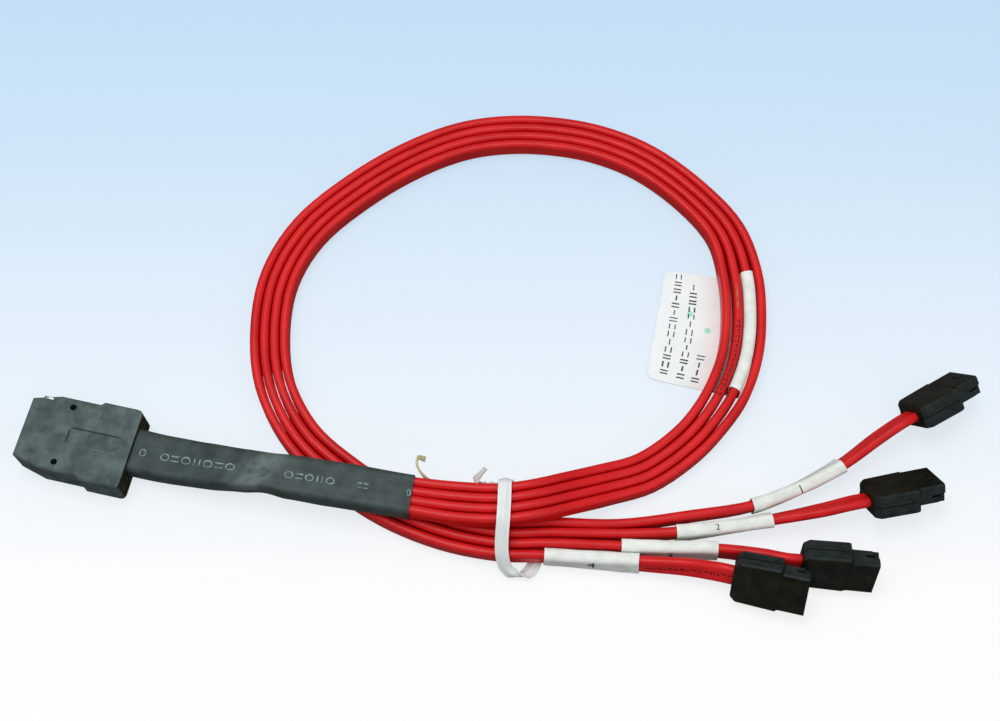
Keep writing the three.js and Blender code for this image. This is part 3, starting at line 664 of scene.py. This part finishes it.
def make_sleeve():
    rings = spaced_frames(group_frames, group_run, 0, sleeve_end, 0.8)
    step = sleeve_end / (len(rings) - 1)
    outer = rounded_ring(2 * (SLEEVE_HALF_WIDE + SLEEVE_WALL), 2 * SLEEVE_TOP, 1.5, 0.4)
    inner = rounded_ring(2 * SLEEVE_HALF_WIDE, 2 * SLEEVE_HALF_HIGH - 0.2, 1.1, 0.4)
    while len(inner) != len(outer):
        inner.insert(len(inner) // 2, inner[len(inner) // 2].lerp(inner[len(inner) // 2 - 1], 0.5))
    data = swept("shrink_sleeve", rings, lambda i: sleeve_ring(outer, i * step),
                 lambda i: drawn_ring(inner, i * step))
    worn = data.attributes.new("worn", "FLOAT", "POINT")
    for i in range(len(rings)):
        for k, (x, y) in enumerate(outer):
            worn.data[i * len(outer) + k].value = sleeve_wear(i * step, x) * (y > 0)
    piece = add_piece("shrink_sleeve", data, SHRINK, sharp=55)
    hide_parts("heat_shrink_sleeve")
    return piece


markers = [make_marker(i) for i in range(CABLE_COUNT)]
sleeve = make_sleeve()


# Print: plain bars, rings and digits that lie just off a surface
def strokes_mesh(name, strokes, surface):
    """Thin strokes on a surface, each a line of (along, across) points and a width"""
    verts, faces = [], []
    for line, wide in strokes:
        base = len(verts)
        closed = line[0] == line[-1]
        for i, (s, t) in enumerate(line):
            before = line[i - 1] if i else line[-2 if closed else 0]
            after = line[i + 1] if i + 1 < len(line) else line[1 if closed else -1]
            ahead = Vector((after[0] - before[0], after[1] - before[1])).normalized() * (wide / 2)
            verts += [surface(s - ahead.y, t + ahead.x) * MM, surface(s + ahead.y, t - ahead.x) * MM]
        for k in range(base, base + 2 * (len(line) - 1), 2):
            faces.append((k, k + 1, k + 3, k + 2))
    return new_mesh(name, verts, faces)


def add_print(name, strokes, surface, look):
    return add_piece(name, strokes_mesh(name, strokes, surface), look)


def discs_mesh(name, middles, radius, surface, corners):
    """Flat discs round (along, across) points on a surface"""
    verts, faces = [], []
    for s, t in middles:
        faces.append(tuple(range(len(verts), len(verts) + corners)))
        for k in range(corners):
            turn = 2 * math.pi * k / corners
            verts.append(surface(s + radius * math.cos(turn), t + radius * math.sin(turn)) * MM)
    return new_mesh(name, verts, faces)


def plain_sign(kind, s, t, long, tall, wide):
    """One sign in a row of print, round (s, t): a ring, bars across, bars along or a dash"""
    a, b = long / 2, tall / 2
    if kind == "ring":
        turns = [k * math.pi / 6 for k in range(12)]
        ring = [(s + a * math.cos(turn), t + b * math.sin(turn)) for turn in turns]
        return [(ring + ring[:1], wide)]
    if kind == "across":
        return [([(s + x, t - b), (s + x, t), (s + x, t + b)], wide) for x in (-a * 0.62, a * 0.62)]
    if kind == "along":
        return [([(s - a, t + y), (s, t + y), (s + a, t + y)], wide) for y in (-b * 0.7, b * 0.7)]
    return [([(s - a, t), (s + a, t)], wide)]


def sleeve_surface(s, t):
    point, side, up = frame_at(group_frames, group_run, s)
    across, top = sleeve_ring([Vector((t, SLEEVE_TOP))], s)[0]
    return point + side * across + up * (top + PRINT_LIFT)


def face_surface(frames, run, out):
    """The wide face on a cable's or marker's right, out from its middle"""
    def surface(s, t):
        point, side, up = frame_at(frames, run, s)
        return point - side * out + up * t
    return surface


def edge_surface(frames, run, out, radius):
    """A cable's or marker's rounded upper edge: its top is at out, and across runs to the left"""
    def surface(s, t):
        point, side, up = frame_at(frames, run, s)
        beyond = min(max(abs(t) - 0.1, 0), radius * 0.95)
        return point + side * t + up * (out - radius + math.sqrt(radius ** 2 - beyond ** 2))
    return surface


def sleeve_print():
    """Rows of plain signs where the tube's print is"""
    signs = ("ring", "along", "ring", "across", "ring", "along", "ring")
    strokes = []
    for start, count, pitch, long in SLEEVE_ROWS:
        for k in range(count):
            kind = signs[k] if count > 2 else "along" if count > 1 else "ring"
            strokes += plain_sign(kind, start + k * pitch, 0.2, long, 1.8, 0.32)
    return add_print("sleeve_print", strokes, sleeve_surface, PALE_PRINT)


def broken_row(start, end, middle, tall, seed):
    """A broken row of small dark bars, as uneven as worn print"""
    strokes, s, k = [], start, 0
    while s < end:
        pick = noise.noise(Vector((k * 1.7, seed * 3.1, 0.5)))
        kind = "across" if pick > 0.05 else "along" if pick > -0.25 else "dash"
        long = 1 + 0.8 * abs(pick)
        strokes += plain_sign(kind, s + long / 2, middle, long, tall, 0.45)
        s += long + 0.5
        k += 1
    return strokes


def digit_mesh(name, digit, size):
    curve = bpy.data.curves.new(name, "FONT")
    curve.body = digit
    curve.size = size
    curve.align_x = "CENTER"
    curve.align_y = "CENTER"
    text = new_object(name, curve)
    data = bpy.data.meshes.new_from_object(text)
    bpy.data.objects.remove(text)
    bpy.data.curves.remove(curve)
    work = bmesh.new()
    work.from_mesh(data)
    bmesh.ops.triangulate(work, faces=work.faces)
    bmesh.ops.subdivide_edges(work, edges=work.edges, cuts=3, use_grid_fill=True)
    work.to_mesh(data)
    work.free()
    return data


def make_digit(index, share, on_edge, middle, size):
    """The port's number on a marker sleeve, on its upper edge or on its right wide face"""
    _, start, end = markers[index]
    _, frames = cables[index]
    run = lengths_of(frames)
    wall = GAP + MARKER_WALL + DIGIT_LIFT
    if on_edge:
        surface = edge_surface(frames, run, CABLE_WIDE / 2 + wall, CABLE_ROUND + wall)
    else:
        surface = face_surface(frames, run, CABLE_THICK / 2 + wall)
    name = f"marker_{index + 1}_digit"
    data = digit_mesh(name, str(index + 1), size)
    for vertex in data.vertices:
        vertex.co = surface(start + share * (end - start) + vertex.co.x, middle + vertex.co.y) * MM
    return add_piece(name, data, INK)


# Each digit's place along its marker, whether it is on the edge, its middle across and its size
DIGITS = ((0.5, True, -0.5, 3.6), (0.42, True, -0.1, 2.4), (0.5, False, 0.9, 5), (0.5, False, 1.1, 5))
digits = [make_digit(i, *digit) for i, digit in enumerate(DIGITS)]
print_piece = sleeve_print()


# Flag label
def make_label():
    _, frames = cables[LABEL_CABLE]
    run = lengths_of(frames)
    start, end = point_length(frames, LABEL_FIRST_POINT), point_length(frames, LABEL_LAST_POINT)
    rings = spaced_frames(frames, run, start, end, 1)
    outer = marker_section(GAP, LABEL_WALL)
    inner = marker_section(GAP, 0)
    wrap = swept("label_wrap", rings, lambda i: crumpled(outer, 9, 0.05, i), lambda i: inner)
    wrap_piece = add_piece("label_wrap", wrap, MARKER, sharp=50)

    far, near = (in_frame((*corner, 0)) for corner in (LABEL_FAR, LABEL_NEAR))
    height = rings[0][0].z - CABLE_WIDE / 2 - GAP - LABEL_WALL / 2

    def flag_point(across, along, lift=0.0):
        """across runs from 0 at the free edge to 1 at the wrapped cable, along from 0 at the near corner to
        1 at the far one"""
        root = frame_at(frames, run, start + (end - start) * along)[0]
        edge = near.lerp(far, along)
        point = edge.lerp(root, across)
        curl = 0.7 * max(0, 1 - across * 3.2) ** 2 * (0.35 + 0.65 * abs(2 * along - 1) ** 2)
        return Vector((point.x, point.y, height + curl + lift))

    wide = (near - rings[0][0]).to_2d().length
    tall = (far - near).length
    close = [0, 0.004, 0.012, 0.025, 0.04]
    rows = close + [0.06 + 0.88 * k / 22 for k in range(23)] + [1 - along for along in reversed(close)]
    flag_rings = []
    for along in rows:
        inset = max(0, LABEL_CORNER - min(along, 1 - along) * tall)
        first = (LABEL_CORNER - math.sqrt(LABEL_CORNER ** 2 - inset ** 2)) / wide
        shares = [first + (1 - first) * k / LABEL_COLUMNS for k in range(LABEL_COLUMNS + 1)]
        top = [flag_point(a, along, LABEL_WALL / 2 - 0.05) for a in shares]
        bottom = [flag_point(a, along, 0.05 - LABEL_WALL / 2) for a in reversed(shares)]
        flag_rings.append(bottom + top)
    flag = ring_mesh("label_flag", flag_rings, False)
    flag_piece = add_piece("label_flag", flag, PAPER, sharp=50)
    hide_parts("flag_label")

    def printed(s, t):
        return flag_point(t / wide, s / tall, LABEL_WALL / 2 - 0.02)

    strokes = []
    kinds = ("across", "along", "across", "dash", "across", "along", "along")
    for row, (middle, first, last) in enumerate(LABEL_ROWS):
        s, k = first, 0
        while s < last:
            pick = noise.noise(Vector((k * 2.3, row * 5.7, 1.5)))
            long = 1.5 + 0.7 * abs(pick)
            kind = kinds[(3 * k + 5 * row + int(abs(pick) * 9)) % len(kinds)]
            strokes += plain_sign(kind, s + long / 2, middle, long, 2.3, 0.34 + 0.16 * bell(k % 9 - 1, 1.6))
            s += long + 0.75
            k += 1
    rows_piece = add_print("label_rows", strokes, printed, INK)
    dots = discs_mesh("label_dots", LABEL_DOTS, LABEL_DOT_RADIUS, printed, 20)
    dots_piece = add_piece("label_dots", dots, GREEN_DOT)
    return [wrap_piece, flag_piece, rows_piece, dots_piece]


label = make_label()


# Twist tie
def tie_ring(width, wing, core):
    """A ribbon that swells towards the wire along its middle, with a fine ridge near one edge"""
    places = [width * (0.5 - k / 20) for k in range(21)]
    swell = width * 0.27
    top = [Vector((x, wing / 2 + core * bell(x, swell) + 0.1 * bell(x + width * 0.34, 0.16))) for x in places]
    return top + [Vector((-p.x, -p.y)) for p in top]


def make_tie():
    upward = Vector((0, 0.5, 1)).normalized()
    loop = ribbon_frames(TIE_LOOP, Vector((1, 0, 0)), 7)
    knot = ribbon_frames(TIE_KNOT, upward, 12)
    thick = ribbon_frames(TIE_THICK_END, upward, 8)
    thin = ribbon_frames(TIE_THIN_END, upward, 7)
    loop_ring = tie_ring(TIE_WIDE, 0.3, 0.5)
    knot_ring = tie_ring(TIE_KNOT_WIDE, 0.9, 0.25)
    end_ring = tie_ring(TIE_THICK_END_WIDE, 0.4, 0.3)

    def turned_ring(i):
        turn = Matrix.Rotation(i * TIE_KNOT_TURN, 2)
        return [turn @ p for p in knot_ring]

    def thin_ring(i):
        """Narrow, and wider over the last stretch"""
        share = i / (len(thin) - 1)
        return tie_ring(0.9 + 1.3 * max(0, (share - 0.72) / 0.28), 0.3, 0.2)

    parts = (
        ("tie_loop", loop, lambda i: loop_ring, TIE),
        ("tie_knot", knot, turned_ring, TIE),
        ("tie_thick_end", thick, lambda i: end_ring, TIE),
        ("tie_thin_end", thin, thin_ring, TIE_AGED),
    )
    pieces = [add_piece(name, swept(name, frames, ring), look, sharp=50)
              for name, frames, ring, look in parts]
    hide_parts("twist_tie")
    return pieces


tie = make_tie()


# Plugs
def rounded_copy(node, name, looks, offset, matrix, pick):
    """A CAD node's solid again with its sharp edges rounded; it stands for the node. pick gives a face's look
    from its direction in the plug's own coordinates"""
    work = bmesh.new()
    work.from_mesh(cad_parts[node].data)
    bmesh.ops.remove_doubles(work, verts=work.verts, dist=2e-6)
    bmesh.ops.dissolve_limit(work, angle_limit=math.radians(0.5), verts=work.verts, edges=work.edges)
    sharp = [e for e in work.edges if len(e.link_faces) == 2 and e.calc_face_angle() > math.radians(24)]
    bmesh.ops.bevel(work, geom=sharp, offset=offset * MM, segments=2, profile=0.5, affect="EDGES",
                    clamp_overlap=True)
    turn = matrix.to_3x3().inverted()
    work.normal_update()
    for face in work.faces:
        face.material_index = pick(turn @ face.normal)
    data = bpy.data.meshes.new(name)
    work.to_mesh(data)
    work.free()
    piece = add_piece(name, data, *looks, sharp=34)
    weighted = piece.modifiers.new("even_shading", "WEIGHTED_NORMAL")
    weighted.keep_sharp = True
    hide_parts(node)
    return piece


def narrow_side(way):
    """1 on the plug's narrow sides, which get the painted lit tone"""
    return int(abs(way.y) > 0.6)


def shell_side(way):
    """1 on the wide plug's rounded upper edge at the rear, which gets a painted highlight, 2 on its rear
    face, which gets painted shade
    """
    if way.x > 0.75:
        return 2
    return int(way.x > 0.25 and way.z > 0.25)


# The seam's bead: its height, half its width and where it ends beside the cable
BEAD_HIGH = 0.12
BEAD_HALF = 0.2
BEAD_END = 4.2


def seam_bead(name, matrix):
    """The moulding line round the middle of a cover's narrow sides"""
    rear, front, chamfer = COVER_REAR_WIDTH / 2, COVER_WIDTH / 2, COVER_CHAMFER
    tall = Vector((0, 0, 2 * BEAD_HALF))
    verts, faces = [], []
    for hand in (1, -1):
        corners = [(COVER_LENGTH - 0.7, front), (chamfer, rear), (0, rear - chamfer), (0, BEAD_END)]
        base = len(verts)
        for x, y in corners:
            out = Vector((-0.6 if x < 1 else 0, hand, 0)).normalized() * BEAD_HIGH
            if y == BEAD_END:
                out = Vector((-BEAD_HIGH, 0, 0))
            low = Vector((x, y * hand, -BEAD_HALF))
            verts += [low - out, low + out, low + out + tall, low - out + tall]
        for k in range(len(corners) - 1):
            for m in range(4):
                a, b = base + 4 * k + m, base + 4 * k + (m + 1) % 4
                faces.append((a, b, b + 4, a + 4) if hand > 0 else (b, a, a + 4, b + 4))
        last = base + 4 * (len(corners) - 1)
        ends = [(base, base + 3, base + 2, base + 1), (last, last + 1, last + 2, last + 3)]
        faces += ends if hand > 0 else [tuple(reversed(end)) for end in ends]
    data = new_mesh(name, [(matrix @ v) * MM for v in verts], faces)
    return add_piece(name, data, COVER, sharp=30)


def side_ribs():
    """Two broken ribs along each of a cover's narrow sides, as low and high corners"""
    ribs = []
    for hand in (1, -1):
        for middle in (-1.75, 1.75):
            for k in range(4):
                start = 2 + 2.7 * k
                flare = (COVER_WIDTH - COVER_REAR_WIDTH) * (start + 1) / COVER_LENGTH
                half = (COVER_REAR_WIDTH + flare) / 2
                edges = sorted((hand * (half - 0.3), hand * (half + 0.22)))
                ribs.append(((start, edges[0], middle - 0.55), (start + 2.1, edges[1], middle + 0.55)))
    return ribs


def rear_face_box(node, matrix):
    """The corners of a node's rear face in the plug's own coordinates"""
    back = (Matrix.Scale(MM, 4) @ matrix).inverted()
    points = [back @ vertex.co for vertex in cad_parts[node].data.vertices]
    rear = min(p.x for p in points)
    face = [p for p in points if p.x < rear + 0.05]
    return [Vector([pick(p[k] for p in face) for k in range(3)]) for pick in (min, max)]


def dress_node(node, look):
    """A look on a CAD node's own mesh"""
    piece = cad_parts[node]
    piece.data.materials.clear()
    piece.data.materials.append(look)
    return piece


def dress_plug(index):
    number = index + 1
    matrix = PLUG_MATRICES[index]
    pieces = []
    for kind, look, edge in (("cover", COVER, 0.3), ("housing", HOUSING, 0.12)):
        node, name = f"plug_{number}_{kind}", f"{kind}_{number}"
        pieces.append(rounded_copy(node, name, (look, COVER_LIT_SIDE), edge, matrix, narrow_side))
    pieces.append(seam_bead(f"cover_{number}_seam", matrix))
    top = COVER_THICK / 2
    low, high = rear_face_box(f"plug_{number}_housing", matrix)
    inset = Vector((0, 0.04, 0.04))
    neck = [(low + inset - Vector((0.8, 0, 0)), high - inset + Vector((0.3, 0, 0)))]
    bars = [((4.4 + 1.3 * k, -2.4, top - 0.1), (4.75 + 1.3 * k, 0.9 - 0.7 * k, top + 0.05)) for k in range(3)]
    # Painted shade: thin near-black slabs on the housing's sides where its slots are
    slot_shades = [((high.x + 3.4, side - 0.02, 0.1), (high.x + 5.9, side + 0.02, 0.8)) for side in (low.y, high.y)]
    # The raised marks and the ribs take the painted lit tone
    for name, boxes, bevel, look in (("neck", neck, 0.4, HOUSING), ("marks", bars, 0.04, COVER_LIT_SIDE),
                                     ("ribs", side_ribs(), 0.16, COVER_LIT_SIDE), ("slot_shades", slot_shades, 0.005, SHADE)):
        pieces.append(add_boxes(f"cover_{number}_{name}", boxes, matrix, bevel, look, sharp=30))
    contacts = [dress_node(f"plug_{number}_contact_{k + 1}", GOLD) for k in range(CONTACT_COUNT)]
    return pieces + contacts


plugs = [dress_plug(i) for i in range(CABLE_COUNT)]


# Gold fingers on the card: number on a side, spacing, half width, the card's half thickness and theirs
FINGER_COUNT = 18
FINGER_PITCH = 0.8
FINGER_HALF = 0.24
CARD_HALF = 0.5
FINGER_THICK = 0.04


def dress_wide_plug():
    # Painted highlight on the rounded rear upper edge and painted shade on the rear face
    shell_looks = (SHELL, SHELL_HIGHLIGHT, SHELL_REAR_SHADE)
    rounded_copy("sas_upper_shell", "wide_upper_shell", shell_looks, 0.2, SAS_MATRIX, shell_side)
    rounded_copy("sas_lower_shell", "wide_lower_shell", shell_looks, 0.12, SAS_MATRIX, shell_side)
    for node, look in (("sas_card", BOARD), ("sas_cable_block", BLOCK), ("sas_latch", STEEL)):
        dress_node(node, look)
    middle = SAS_THICK / 2
    fingers = []
    outer = CARD_HALF + FINGER_THICK
    for k in range(FINGER_COUNT):
        y = (k - (FINGER_COUNT - 1) / 2) * FINGER_PITCH
        for low, high in ((middle + CARD_HALF, middle + outer), (middle - outer, middle - CARD_HALF)):
            fingers.append(((1.5, y - FINGER_HALF, low), (6.2, y + FINGER_HALF, high)))
    add_boxes("card_fingers", fingers, SAS_MATRIX, 0.01, GOLD)
    tab = [((3.2, 9.55, 8.6), (6, 10.25, SAS_THICK + 0.03))]
    add_boxes("side_tab", tab, SAS_MATRIX, 0.12, STEEL)
    # A short groove, drawn as a thin dark bar: painted shade
    mark = [((21.5, 6.7, SAS_THICK - 0.1), (21.8, 8.3, SAS_THICK + 0.04))]
    add_boxes("mould_groove_shade", mark, SAS_MATRIX, 0.05, BLOCK)
    bottom = SAS_THICK - RECESS_DEPTH
    side = RECESS_WIDTH / 2
    end = RECESS_START + RECESS_LENGTH
    low, high = bottom - 0.02, bottom + 0.03
    # Painted shade along the recess's front and far walls, and painted highlight along its rear and near
    # edges
    dark = [((RECESS_START, 0.9 - side, low), (RECESS_START + 0.34, side - 0.9, high)),
            ((RECESS_START + 0.9, side - 0.32, low), (end - 0.9, side, high))]
    pale = [((end - 0.3, 0.9 - side, low), (end, side - 0.9, high)),
            ((RECESS_START + 0.9, -side, low), (end - 0.9, 0.3 - side, high))]
    add_boxes("recess_shade", dark, SAS_MATRIX, 0.01, RECESS_SHADE)
    add_boxes("recess_gleam", pale, SAS_MATRIX, 0.01, SHELL_HIGHLIGHT)

    def hole_floor(x, y):
        return SAS_MATRIX @ Vector((x, y, SAS_THICK - 0.22))

    # Painted shade: near-black discs at the bottoms of the dowel holes
    across = SAS_BODY_WIDTH / 2 - DOWEL_HOLE_INSET
    holes = ((DOWEL_HOLE_X, across), (DOWEL_HOLE_X, -across))
    add_piece("hole_shade", discs_mesh("hole_shade", holes, DOWEL_HOLE_RADIUS + 0.1, hole_floor, 24), SHADE)


dress_wide_plug()


def worn_print():
    """Print and a brown streak on the second cable's upper edge, beside the label"""
    _, frames = cables[1]
    surface = edge_surface(frames, lengths_of(frames), CABLE_WIDE / 2 + PRINT_LIFT, CABLE_ROUND)
    middle = point_length(frames, LABEL_FIRST_POINT)
    row = broken_row(middle - 4, middle + 22, 0.1, 1.2, 2)
    streak = [([(middle + 26 + 2 * k, 0.25 + 0.1 * (k % 2)) for k in range(5)], 0.7)]
    return [add_print("jacket_2_print", row, surface, JACKET_PRINT),
            add_print("jacket_2_stain", streak, surface, STAIN)]


def tail_print():
    """Print on the last cable's wide face, between its marker and its plug"""
    _, _, end = markers[3]
    _, frames = cables[3]
    surface = face_surface(frames, lengths_of(frames), CABLE_THICK / 2 + PRINT_LIFT)
    strokes = broken_row(end + 2, end + 26, 0.3, 1.5, 5)
    return add_print("jacket_4_print", strokes, surface, JACKET_PRINT)


label_print = worn_print()
last_print = tail_print()


# Floor, light and world
def ray_is(tree, *names):
    """1 for the kinds of ray that are named"""
    path = tree.nodes.new("ShaderNodeLightPath")
    total = path.outputs[names[0]]
    for name in names[1:]:
        total = add_node(tree, "Math", {0: total, 1: path.outputs[name]}, operation="MAXIMUM")
    return total


def mix_shaders(tree, share, first, second):
    """The first shader, and the second by share"""
    return add_node(tree, "MixShader", {"Fac": share, 1: first, 2: second})


def make_floor():
    """Pale blue at the back and white in front; light that bounces or is mirrored sees it as a mid grey"""
    material, tree, shader = new_material("floor")
    tree.nodes.remove(shader)
    depth = add_node(tree, "SeparateXYZ", {0: place_of(tree)}, "Y")
    stops = ((0, colour(255, 255, 255)), (0.223, colour(239, 247, 254)), (0.466, colour(225, 239, 252)),
             (0.73, colour(208, 230, 249)), (1, colour(197, 224, 247)))
    pale = add_ramp(tree, add_range(tree, depth, FLOOR_FRONT, FLOOR_BACK, 0, 1), stops)
    glow = add_node(tree, "Emission", {"Color": pale})
    lit = add_node(tree, "BsdfDiffuse", {"Color": pale})
    seen = mix_shaders(tree, FLOOR_LIT_SHARE, glow, lit)
    bounce = add_node(tree, "BsdfDiffuse", {"Color": (FLOOR_BOUNCE, FLOOR_BOUNCE, FLOOR_BOUNCE, 1)})
    shown = mix_shaders(tree, ray_is(tree, "Is Camera Ray", "Is Transmission Ray"), bounce, seen)
    tree.links.new(shown, tree.nodes["Material Output"].inputs["Surface"])
    corners = [(x * FLOOR_HALF, y * FLOOR_HALF, -FLOOR_DROP) for x, y in ((-1, -1), (1, -1), (1, 1), (-1, 1))]
    data = new_mesh("floor", corners, [(0, 1, 2, 3)])
    data.materials.append(material)
    floor = new_object("floor", data)


def make_world():
    world = bpy.data.worlds.new("studio")
    bpy.context.scene.world = world
    world.use_nodes = True
    tree = world.node_tree
    light = tree.nodes["Background"]
    light.inputs["Color"].default_value = (1, 1, 1, 1)
    light.inputs["Strength"].default_value = WORLD_LIGHT
    mirrored = add_node(tree, "Background", {"Strength": WORLD_MIRRORED})
    cast = mix_shaders(tree, ray_is(tree, "Is Glossy Ray"), light.outputs[0], mirrored)
    seen = add_node(tree, "Background", {"Color": colour(214, 233, 250)})
    shown = mix_shaders(tree, ray_is(tree, "Is Camera Ray", "Is Transmission Ray"), cast, seen)
    tree.links.new(shown, tree.nodes["World Output"].inputs["Surface"])


def make_lamp(name, place, size, power):
    data = bpy.data.lights.new(name, "AREA")
    data.shape = "DISK"
    data.size = size
    data.energy = power
    lamp = new_object(name, data)
    lamp.location = place
    lamp.rotation_euler = (-Vector(place)).to_track_quat("-Z", "Y").to_euler()


make_floor()
make_world()
for lamp in LAMPS:
    make_lamp(*lamp)
bpy.context.scene.view_settings.view_transform = "Standard"
